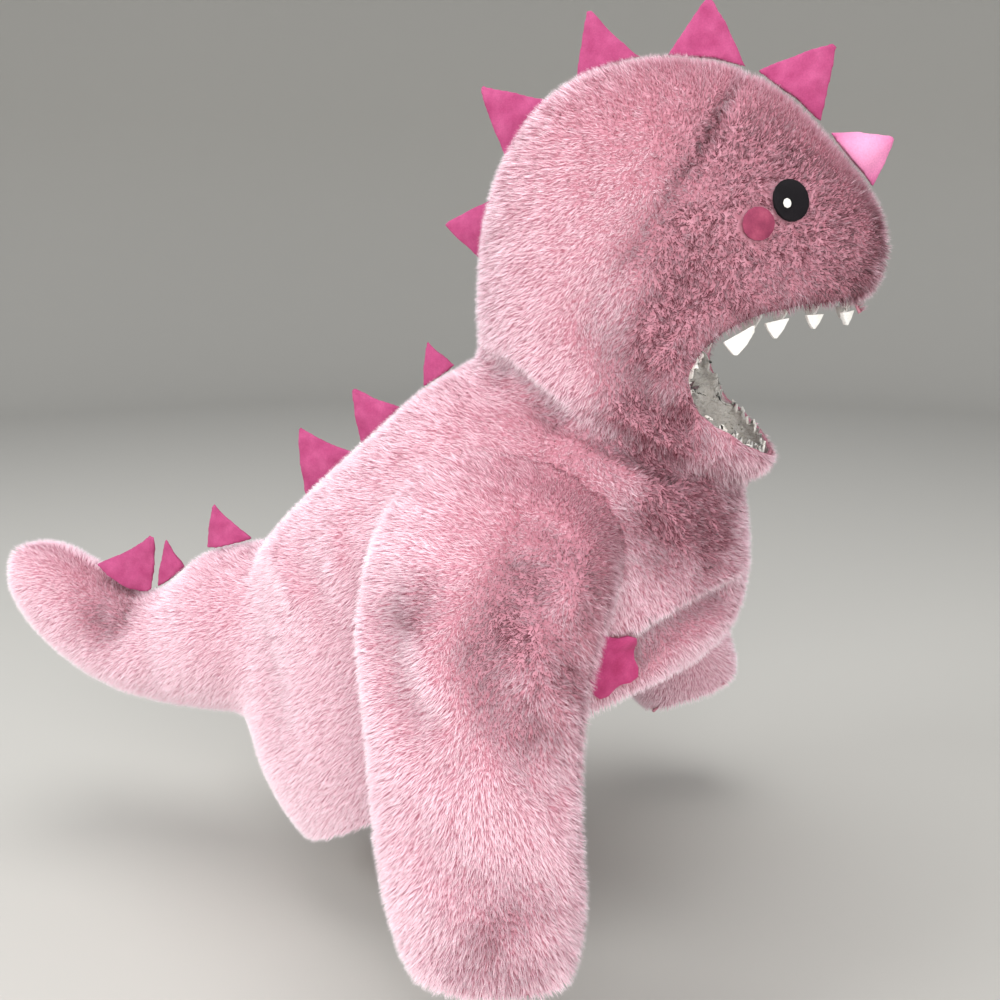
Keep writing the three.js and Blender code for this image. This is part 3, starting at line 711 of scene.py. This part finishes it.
def pile_tree(name, material, wild, tuft_wild, swirl, swirl_size):
    """Nodes that grow a pile of one-triangle blades on a sheet, drawn together in tufts."""
    tree = Tree(name, {
        "Blade Density": "NodeSocketFloat",
        "Tuft Density": "NodeSocketFloat",
        "Length": "NodeSocketFloat",
        "Width": "NodeSocketFloat",
        "Lean": "NodeSocketFloat",
        "Tuft Pull": "NodeSocketFloat",
        "Seed": "NodeSocketInt",
    })
    entry = tree.entry
    seed = entry["Seed"]
    # Rubbed-up pile stands rougher, and painted shade darkens its tone
    ruffle = tree.named("ruffle", "FLOAT")

    def rougher(value, change):
        """A value that changes by a share of itself from smooth to ruffled pile."""
        return tree.math("MULTIPLY", value, tree.math("MULTIPLY_ADD", ruffle, change, 1.0))

    def grown(density, seed_shift, wildness):
        """Points on the sheet, each with the direction and length of what grows there."""
        own_seed = tree.math("ADD", seed, seed_shift)
        scatter = {"Mesh": entry["Geometry"], "Density": density, "Seed": own_seed}
        points = tree.add("GeometryNodeDistributePointsOnFaces", scatter, distribute_method="RANDOM")
        normal = points.node.outputs["Normal"]
        eddy = tree.add("ShaderNodeTexNoise", {"Scale": 1 / swirl_size, "Detail": 1.0}, noise_dimensions="3D")
        eddy = eddy.node.outputs["Color"]
        eddy = tree.scaled(tree.vector("SUBTRACT", eddy, (0.5, 0.5, 0.5)), rougher(2 * swirl, RUFFLED_SWIRL))
        combed = tree.scaled(tree.named("comb"), rougher(entry["Lean"], RUFFLED_LEAN))
        lie = tree.vector("ADD", combed, normal)
        stray = tree.scaled(tree.random_vector(1.0, 7 + seed_shift), rougher(wildness, RUFFLED_WILD))
        lie = tree.vector("ADD", lie, tree.vector("ADD", eddy, stray))
        length = tree.math("MULTIPLY", entry["Length"], tree.random(*BLADE_LENGTHS, 3 + seed_shift))
        aim = tree.scaled(tree.vector("NORMALIZE", lie), length)
        points = tree.stored(points, "up_from_skin", normal)
        return tree.stored(points, "aim", aim)

    density = tree.math("MULTIPLY", entry["Blade Density"], tree.named("cover", "FLOAT"))
    blades = grown(density, 0, wild)
    tufts = grown(rougher(entry["Tuft Density"], RUFFLED_TUFTS), 11, tuft_wild)
    tufts = tree.stored(tufts, "shade", tree.random(0.0, 1.0, 29), "FLOAT")
    place = tree.add("GeometryNodeInputPosition")
    nearest = tree.add("GeometryNodeSampleNearest", {"Geometry": tufts, "Sample Position": place},
                       domain="POINT")

    def of_tuft(value, kind):
        return tree.add("GeometryNodeSampleIndex", {"Geometry": tufts, "Value": value, "Index": nearest},
                        data_type=kind, domain="POINT")

    tip = tree.vector("ADD", of_tuft(place, "FLOAT_VECTOR"), of_tuft(tree.named("aim"), "FLOAT_VECTOR"))
    to_tuft = tree.vector("SUBTRACT", tip, place)
    own = tree.named("aim")
    pull = tree.math("MULTIPLY", rougher(entry["Tuft Pull"], RUFFLED_PULL), tree.random(*BLADE_PULLS, 41))
    reach = tree.vector("ADD", own, tree.scaled(tree.vector("SUBTRACT", to_tuft, own), pull))
    tuft_shade = of_tuft(tree.named("shade", "FLOAT"), "FLOAT")
    smooth = tree.math("MULTIPLY_ADD", tuft_shade, SMOOTH_TUFT_TONE, tree.random(*SMOOTH_TONE, 47))
    # Painted shade: rubbed-up pile takes these darker tones
    rough_and_shaded = tree.math("MULTIPLY_ADD", tuft_shade, ROUGH_PAINTED_SHADE_TUFT_TONE, tree.random(*ROUGH_PAINTED_SHADE_TONE, 59))
    shade = tree.math("MULTIPLY_ADD", tree.math("SUBTRACT", rough_and_shaded, smooth), ruffle, smooth)
    # Painted shade: pile deep in a crease or the hood's seam is darker
    painted_crease_shade = tree.math("MULTIPLY_ADD", tree.named("hollow", "FLOAT"), CREASE_PAINTED_SHADE, 1.0)
    shade = tree.math("MULTIPLY", shade, painted_crease_shade)
    blades = tree.stored(blades, "reach", reach)
    blades = tree.stored(blades, "tone", shade, "FLOAT")
    blades = tree.stored(blades, "root", place)
    flat = tree.vector("CROSS_PRODUCT", tree.named("up_from_skin"), tree.named("reach"))
    flat = tree.vector("NORMALIZE", flat)
    raised = tree.vector("NORMALIZE", tree.vector("CROSS_PRODUCT", tree.named("reach"), flat))
    twist = tree.random(-BLADE_TWIST, BLADE_TWIST, 53)
    across = tree.vector("ADD", tree.scaled(flat, tree.math("COSINE", twist)),
                         tree.scaled(raised, tree.math("SINE", twist)))
    blades = tree.stored(blades, "across", tree.scaled(across, tree.math("MULTIPLY", entry["Width"], 0.5)))
    tree.add("NodeGroupOutput", {0: blade_shapes(tree, blades, material)})
    return tree


def grow_pile(tree, sheet, name, values, own_shade=BLADE_SHADE):
    """Grows a pile on a copy of a sheet. Each blade is shaded partly by itself and partly by the skin."""
    pile = tree.run(placed(name, sheet.data.copy()), name, values)
    mesh = pile.data
    up = vectors_of(mesh.attributes["up_from_skin"].data, "vector")
    blade_corners = field_of(mesh.loops, "vertex_index", np.int32)
    facing = np.zeros((len(mesh.vertices), 3))
    facing[blade_corners] = np.repeat(face_data(mesh, "normal"), 3, axis=0)
    soft = unit(up * SKIN_SHADE + facing * own_shade)
    drop_attributes(mesh)
    smooth_faces(mesh)
    mesh.normals_split_custom_set_from_vertices(soft.tolist())
    mesh.uv_layers["Fur"].active_render = True
    mesh.uv_layers.active = mesh.uv_layers["Fur"]
    return pile


# Materials

def srgb(*levels):
    """A linear colour from 0-255 screen levels."""
    def linear(level):
        value = level / 255
        return value / 12.92 if value <= 0.04045 else ((value + 0.055) / 1.055) ** 2.4
    return (*[linear(level) for level in levels], 1.0)


class Finish:
    """A material under construction, on one Principled shader."""

    def __init__(self, name, **shader):
        self.material = bpy.data.materials.new(name)
        self.material.use_nodes = True
        self.tree = self.material.node_tree
        self.shader = self.tree.nodes["Principled BSDF"]
        for key, value in shader.items():
            self.shader.inputs[key.replace("_", " ")].default_value = value

    def add(self, kind, inputs=None, **settings):
        return new_node(self.tree, kind, inputs, **settings)

    def ramp(self, value, stops):
        node = self.add("ShaderNodeValToRGB", {0: value})
        points = node.color_ramp.elements
        while len(points) < len(stops):
            points.new(0.5)
        for point, (place, color) in zip(points, stops):
            point.position = place
            point.color = color
        return node.outputs[0]

    def noise(self, size, detail=2.0):
        """Noise with features of about a size in metres."""
        where = self.add("ShaderNodeTexCoord").outputs["Object"]
        node = self.add("ShaderNodeTexNoise", {"Vector": where, "Scale": 1 / size, "Detail": detail})
        return node.outputs["Fac"]

    def mixed(self, factor, a, b, blend="MIX"):
        """One colour over another. A mix of colours has them as inputs 6 and 7 and gives output 2."""
        inputs = {0: factor, 6: a, 7: b}
        return self.add("ShaderNodeMix", inputs, data_type="RGBA", blend_type=blend).outputs[2]

    def color(self, socket):
        self.tree.links.new(socket, self.shader.inputs["Base Color"])

    def bump(self, height, strength, distance):
        node = self.add("ShaderNodeBump", {"Height": height, "Strength": strength, "Distance": distance})
        self.tree.links.new(node.outputs[0], self.shader.inputs["Normal"])


def pile_finish(name, root, middle, tip, dark, light):
    """Pile with painted shade towards the root and painted light towards the tip, each blade a little lighter
    or darker: it reads the blade's own Fur map.
    """
    finish = Finish(name, Roughness=0.7, Specular_IOR_Level=0.15, Sheen_Weight=0.12, Sheen_Roughness=0.5)
    blade = finish.add("ShaderNodeUVMap", uv_map="Fur").outputs[0]
    split = finish.add("ShaderNodeSeparateXYZ", {0: blade}).outputs
    # Painted shade deep in the pile at the root, painted light at the tip
    painted_root_shade_tip_light = finish.ramp(split[1], [(0.0, root), (0.45, middle), (0.92, tip)])
    # The tone's dark end is painted shade for rubbed-up pile and creases
    tone = finish.ramp(split[0], [(0.08, dark), (0.72, light)])
    finish.color(finish.mixed(1.0, painted_root_shade_tip_light, tone, "MULTIPLY"))
    return finish.material


def backing_finish():
    """Knitted backing of the plush, the colour of the pile's roots."""
    finish = Finish("plush_backing", Roughness=0.95, Specular_IOR_Level=0.1)
    knit = finish.noise(3 * MM, 3)
    finish.color(finish.ramp(knit, [(0.3, srgb(186, 122, 136)), (0.7, srgb(212, 156, 170))]))
    finish.bump(finish.noise(0.9 * MM), 0.4, 0.4 * MM)
    return finish.material


def wrong_side_finish():
    """Inside of the plush: a pale knit with fine ribs."""
    finish = Finish("plush_wrong_side", Roughness=0.9, Specular_IOR_Level=0.15, Sheen_Weight=0.15)
    where = finish.add("ShaderNodeTexCoord").outputs["Object"]
    wave = {"Vector": where, "Scale": RIB_SCALE, "Distortion": 1.2, "Detail": 1.0, "Detail Scale": 2.0}
    ribs = finish.add("ShaderNodeTexWave", wave, bands_direction="Y").outputs["Fac"]
    finish.color(finish.mixed(ribs, srgb(214, 178, 186), srgb(233, 208, 212)))
    finish.bump(ribs, 0.5, 0.3 * MM)
    return finish.material


def felt_finish(name, base, dark, light, fibre=0.9 * MM, sheen=0.15, pale=None):
    """Brushed felt: cloudy dye, fine fibres, a soft sheen, and a pale spot of painted highlight if it has
    one.
    """
    finish = Finish(name, Roughness=0.85, Specular_IOR_Level=0.2, Sheen_Weight=sheen, Sheen_Roughness=0.4)
    cloud = finish.ramp(finish.noise(9 * MM, 3), [(0.3, dark), (0.52, base), (0.75, light)])
    if pale:
        # The pale spot is a painted highlight, palest at its middle
        spot, radius, color = pale
        where = finish.add("ShaderNodeTexCoord").outputs["Object"]
        away = finish.add("ShaderNodeVectorMath", {0: where, 1: spot}, operation="DISTANCE").outputs["Value"]
        share = finish.add("ShaderNodeMapRange", {0: away, 2: radius, 3: 1.0, 4: 0.0}).outputs[0]
        cloud = finish.mixed(share, cloud, color)
    specks = finish.ramp(finish.noise(fibre, 4), [(0.3, (0.88, 0.88, 0.88, 1)), (0.7, (1.08, 1.08, 1.08, 1))])
    finish.color(finish.mixed(1.0, cloud, specks, "MULTIPLY"))
    finish.bump(finish.noise(fibre * 0.7, 3), 0.35, 0.3 * MM)
    return finish.material


# Each pile's root colour is painted shade and its tip colour painted light
PINK_PILE = pile_finish("pink_pile", srgb(166, 90, 108), srgb(242, 198, 212), srgb(254, 244, 249),
                        (0.20, 0.085, 0.105, 1), (1.0, 1.0, 1.0, 1))
FLEECE_PILE = pile_finish("fleece_pile", srgb(214, 208, 198), srgb(240, 237, 230), srgb(252, 250, 246),
                          (0.88, 0.87, 0.85, 1), (1.0, 1.0, 1.0, 1))
BACKING_CLOTH = backing_finish()
WRONG_SIDE = wrong_side_finish()
FLEECE = felt_finish("fleece_ground", srgb(240, 237, 230), srgb(226, 221, 212), srgb(248, 246, 241))
HOT_PINK_FELT = felt_finish("hot_pink_felt", srgb(168, 70, 114), srgb(158, 60, 104), srgb(180, 82, 126))
# The nose spike's felt is a lighter copy of the hot pink felt with painted light, and a painted highlight on
# its middle
NOSE_PAINTED_LIGHT_FELT = felt_finish("nose_spike_painted_light_felt", srgb(188, 88, 136), srgb(180, 78, 126), srgb(200, 100, 148),
                        pale=((0.0, -0.150, 0.156), 0.021, srgb(234, 168, 202)))
PATCH_FELT = felt_finish("patch_felt", srgb(176, 62, 110), srgb(164, 52, 98), srgb(188, 74, 122))
BLACK_FELT = felt_finish("black_felt", srgb(16, 12, 16), srgb(12, 9, 12), srgb(24, 19, 23), sheen=0.02)
WHITE_FELT = felt_finish("white_felt", srgb(232, 230, 224), srgb(220, 217, 208), srgb(240, 239, 235))
CHEEK_FELT = felt_finish("cheek_felt", srgb(140, 58, 84), srgb(120, 46, 72), srgb(158, 74, 98))


def split_skin(skin, owner):
    """One sheet for each plush panel, with the pile's comb and cover on its corners."""
    mesh = skin.data
    corners = corners_of(mesh)
    normals = normals_of(mesh)
    hollow = field_of(mesh.attributes["hollow"].data, "value")
    faces = field_of(mesh.loops, "vertex_index", np.int32)
    totals = field_of(mesh.polygons, "loop_total", np.int32)
    starts = np.concatenate([[0], np.cumsum(totals)[:-1]])
    sheets = {}
    for index, node in enumerate(PLUSH):
        mine = np.nonzero(owner == index)[0]
        own_faces = [faces[starts[i]:starts[i] + totals[i]] for i in mine]
        used = np.unique(np.concatenate(own_faces))
        renumber = {int(old): new for new, old in enumerate(used)}
        sheet = mesh_object("sheet_" + node, corners[used],
                            [[renumber[int(v)] for v in face] for face in own_faces])
        points = corners[used] / MM
        add_fields(
            sheet.data,
            comb=comb_field(node, points, normals[used]),
            cover=cover_field(corners[used], normals[used]),
            hollow=hollow[used],
            ruffle=ruffle_field(points),
        )
        sheets[node] = sheet
    return sheets


def area_of(sheet):
    return sum(face.area for face in sheet.data.polygons)


def finish_with(piece, *materials):
    """Gives a piece its only materials."""
    piece.data.materials.clear()
    for material in materials:
        piece.data.materials.append(material)


def thickened(sheet, name, thickness, outside, inside):
    """A sheet given its thickness inwards, with a finish on each side."""
    shell = placed(name, sheet.data.copy())
    drop_attributes(shell.data)
    finish_with(shell, outside, inside)
    solid = shell.modifiers.new("thickness", "SOLIDIFY")
    solid.thickness = thickness
    solid.offset = -1
    solid.material_offset = 1
    solid.use_even_offset = False
    made = finished(shell, name)
    smooth_faces(made.data)
    return made


def capped(sheet, name, finish):
    """A sheet with its open end closed by a fan."""
    made = placed(name, sheet.data.copy())
    drop_attributes(made.data)
    work = bmesh.new()
    work.from_mesh(made.data)
    rim = [edge for edge in work.edges if edge.is_boundary]
    filled = bmesh.ops.edgeloop_fill(work, edges=rim)["faces"]
    bmesh.ops.poke(work, faces=filled)
    bmesh.ops.recalc_face_normals(work, faces=work.faces)
    work.to_mesh(made.data)
    work.free()
    finish_with(made, finish)
    smooth_faces(made.data)
    return made


def declare(node, cloth, pile):
    """Attaches a cloth and its pile to the root and hides the CAD node they stand for."""
    for piece in (cloth, pile):
        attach(piece, "root")
    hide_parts(node)


def make_plush():
    """The plush panels with their piles."""
    skin, owner = make_skin()
    sheets = split_skin(skin, owner)
    hood_sheet = mesh_object("hood_sheet", *lining_sheet(skin, owner))
    bpy.data.objects.remove(skin)
    total = sum(area_of(sheet) for sheet in sheets.values())
    tree = pile_tree("plush_pile", PINK_PILE, **PLUSH_HABIT)
    for number, (node, sheet) in enumerate(sheets.items()):
        pile = grow_pile(tree, sheet, "pile_" + node, {
            "Blade Density": BLADES / total,
            "Tuft Density": 1 / TUFT_STEP ** 2,
            "Length": PILE_LENGTH,
            "Width": PILE_WIDTH,
            "Lean": PILE_LEAN,
            "Tuft Pull": TUFT_PULL,
            "Seed": PILE_SEED + number,
        })
        if node == "tail":
            cloth = capped(sheet, "cloth_tail", BACKING_CLOTH)
            declare(node, cloth, pile)
        else:
            cloth = thickened(sheet, "cloth_" + node, BACKING, BACKING_CLOTH, WRONG_SIDE)
            declare(node, cloth, pile)
        bpy.data.objects.remove(sheet)
    return hood_sheet


def lining_sheet(skin, owner):
    """Corners and faces of the hood's lining: the hood's skin moved in, where the lining's solid is."""
    mesh = skin.data
    corners = corners_of(mesh) - normals_of(mesh) * LINING_DEPTH
    lining = PanelMap(("hood_lining",))
    wanted = np.isin(owner, [PLUSH.index(node) for node in HOOD_PANELS])
    inner = face_data(mesh, "center") - face_data(mesh, "normal") * LINING_DEPTH
    near = lining.distances(inner) < LINING_NEAR
    faces = [list(mesh.polygons[i].vertices) for i in np.nonzero(wanted & near)[0]]
    used = np.unique(np.concatenate(faces))
    renumber = {int(old): new for new, old in enumerate(used)}
    return corners[used], [[renumber[v] for v in face] for face in faces]


def edge_push(mesh):
    """For each corner on a free edge, the direction along the cloth that leads off it."""
    edges = edges_of(mesh)
    on_edge = np.zeros(len(mesh.vertices), bool)
    on_edge[edges[border_edges(mesh)].ravel()] = True
    corners = corners_of(mesh)
    push = np.zeros_like(corners)
    for one, other in (edges.T, edges.T[::-1]):
        out = on_edge[one] & ~on_edge[other]
        np.add.at(push, one[out], corners[one[out]] - corners[other[out]])
    return np.where(on_edge[:, None], unit(push), 0)


def make_lining(sheet):
    """Fleece lining of the hood, with a short curly pile on its inner side."""
    mesh = sheet.data
    keep_faces(mesh, np.ones(len(mesh.polygons), bool))
    relax(mesh, 2, border_rounds=LINING_EDGE_ROUNDS)
    set_corners(mesh, corners_of(mesh) + edge_push(mesh) * LINING_ROLL)
    cloth = thickened(sheet, "cloth_hood_lining", LINING_THICK, FLEECE, FLEECE)
    set_corners(mesh, corners_of(mesh) - normals_of(mesh) * LINING_THICK)
    mesh.flip_normals()
    points = corners_of(mesh) / MM
    normals = normals_of(mesh)
    comb = np.tile(np.array([FLEECE_COMB]), (len(points), 1))
    comb -= normals * np.sum(comb * normals, axis=1, keepdims=True)
    none = np.zeros(len(points))
    add_fields(mesh, comb=unit(comb), cover=none + 1, hollow=none, ruffle=none)
    tree = pile_tree("fleece_pile", FLEECE_PILE, **FLEECE_HABIT)
    pile = grow_pile(tree, sheet, "pile_hood_lining", {
        "Blade Density": FLEECE_BLADES / area_of(sheet),
        "Tuft Density": 1 / FLEECE_TUFT_STEP ** 2,
        "Length": FLEECE_LENGTH,
        "Width": FLEECE_WIDTH,
        "Lean": FLEECE_LEAN,
        "Tuft Pull": FLEECE_PULL,
        "Seed": FLEECE_SEED,
    }, own_shade=FLEECE_SHADE)
    declare("hood_lining", cloth, pile)
    bpy.data.objects.remove(sheet)


def dressed(piece, node, finish):
    """Gives a felt piece its finish and puts it in its CAD node's place."""
    finish_with(piece, finish)
    smooth_faces(piece.data)
    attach(piece, "root")
    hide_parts(node)
    return piece


def flat_felt(node, name, finish, edge=FELT_BEVEL, sink=0.0):
    """A flat felt shape on its CAD form, sunk a little into the pile, with soft cut edges."""
    corners, _, triangles = merged(node)
    piece = mesh_object(name, corners, triangles.tolist())
    inward = -math.copysign(1, corners[:, 0].min() + corners[:, 0].max())
    set_corners(piece.data, corners + np.array([inward * sink, 0, 0]))
    bevel = piece.modifiers.new("soft edge", "BEVEL")
    bevel.width = edge
    bevel.segments = 2
    bevel.limit_method = "ANGLE"
    bevel.angle_limit = math.radians(40)
    return dressed(finished(piece, name), node, finish)


def make_spike(node, name, finish):
    """A padded spike of two felt layers: soft dents in its sides and a seam round its edge."""
    corners, _, triangles = merged(node)
    piece = voxel_copy(name, [(corners, triangles)], SPIKE_STEP)
    relax(piece.data, 3)
    spots = corners_of(piece.data)
    normals = normals_of(piece.data)
    grain = spots / MM / SPIKE_DENT_SIZE
    dent = np.sin(grain[:, 1] * 2.1 + grain[:, 2] * 1.3 + 2) * np.sin(grain[:, 2] * 1.9 - grain[:, 1] * 0.8)
    side = np.abs(normals[:, 0])
    push = SPIKE_DENT * np.clip(dent, -0.6, 1) * side
    push -= SPIKE_SEAM * np.exp(-((spots[:, 0] / SPIKE_SEAM_WIDTH) ** 2)) * (1 - side)
    set_corners(piece.data, spots + normals * push[:, None])
    dressed(piece, node, finish)


def make_felts():
    """The eyes, cheeks, teeth, patch and spikes."""
    for side in ("right", "left"):
        flat_felt("eye_" + side, "felt_eye_" + side, BLACK_FELT, sink=FELT_SINK)
        flat_felt("eye_glint_" + side, "felt_glint_" + side, WHITE_FELT, GLINT_BEVEL, FELT_SINK)
        flat_felt("cheek_" + side, "felt_cheek_" + side, CHEEK_FELT, sink=FELT_SINK)
        for number in range(1, TEETH_A_SIDE + 1):
            tooth = f"tooth_{side}_{number}"
            flat_felt(tooth, "felt_" + tooth, WHITE_FELT, TOOTH_BEVEL)
    flat_felt("patch_right", "felt_patch_right", PATCH_FELT)
    for number in range(1, SPIKES + 1):
        spike = f"spike_{number:02d}"
        # The nose spike, number 1, gets the felt with painted light
        make_spike(spike, "felt_" + spike, NOSE_PAINTED_LIGHT_FELT if number == 1 else HOT_PINK_FELT)


def make_floor():
    """Pale round floor that turns up into a wall."""
    disc, reach = FLOOR_FLAT
    profile = [(disc, 0.0), (reach, 0.0)]
    for angle in np.linspace(0, math.pi / 2, FLOOR_BEND_STEPS + 1)[1:]:
        profile.append((reach + FLOOR_BEND * math.sin(angle), FLOOR_BEND * (1 - math.cos(angle))))
    profile.append((reach + FLOOR_BEND, WALL_TOP))
    turns = np.linspace(0, 2 * math.pi, FLOOR_SIDES, endpoint=False)
    corners = []
    for radius, height in profile:
        corners += [(radius * math.cos(turn), radius * math.sin(turn), FLOOR_Z + height) for turn in turns]
    faces = [list(range(FLOOR_SIDES))]
    for ring in range(len(profile) - 1):
        start = ring * FLOOR_SIDES
        for side in range(FLOOR_SIDES):
            here = start + side
            after = start + (side + 1) % FLOOR_SIDES
            faces.append([here, here + FLOOR_SIDES, after + FLOOR_SIDES, after])
    floor = mesh_object("studio_floor", corners, faces)
    smooth_faces(floor.data)
    paper = Finish("studio_paper", Roughness=0.9, Specular_IOR_Level=0.1)
    paper.shader.inputs["Base Color"].default_value = srgb(*PAPER)
    floor.data.materials.append(paper.material)


def looking(direction):
    """Turn of a lamp or camera that looks in a direction."""
    return direction.to_track_quat("-Z", "Y").to_euler()


def make_lights():
    """Soft lamps and a dim even room."""
    for name, place, size, power, color in LAMPS:
        data = bpy.data.lights.new(name, "AREA")
        data.shape = "DISK"
        data.size = size
        data.energy = power
        data.color = color
        lamp = placed(name, data)
        lamp.location = place
        lamp.rotation_euler = looking(Vector(LAMP_TARGET) - Vector(place))
    room = bpy.data.worlds.new("studio")
    room.use_nodes = True
    room.node_tree.nodes["Background"].inputs[0].default_value = ROOM_COLOR
    room.node_tree.nodes["Background"].inputs[1].default_value = ROOM_LIGHT
    bpy.context.scene.world = room


def make_camera():
    """The camera, where the photograph was taken from."""
    data = bpy.data.cameras.new("camera")
    data.sensor_width = CAMERA_SENSOR
    data.lens = CAMERA_LENS
    camera = placed("camera", data)
    camera.location = CAMERA_PLACE
    camera.rotation_euler = looking(Vector(CAMERA_VIEW))
    bpy.context.scene.camera = camera
    bpy.context.scene.view_settings.view_transform = "Standard"


make_floor()
make_lights()
make_camera()
hood_sheet = make_plush()
make_lining(hood_sheet)
make_felts()
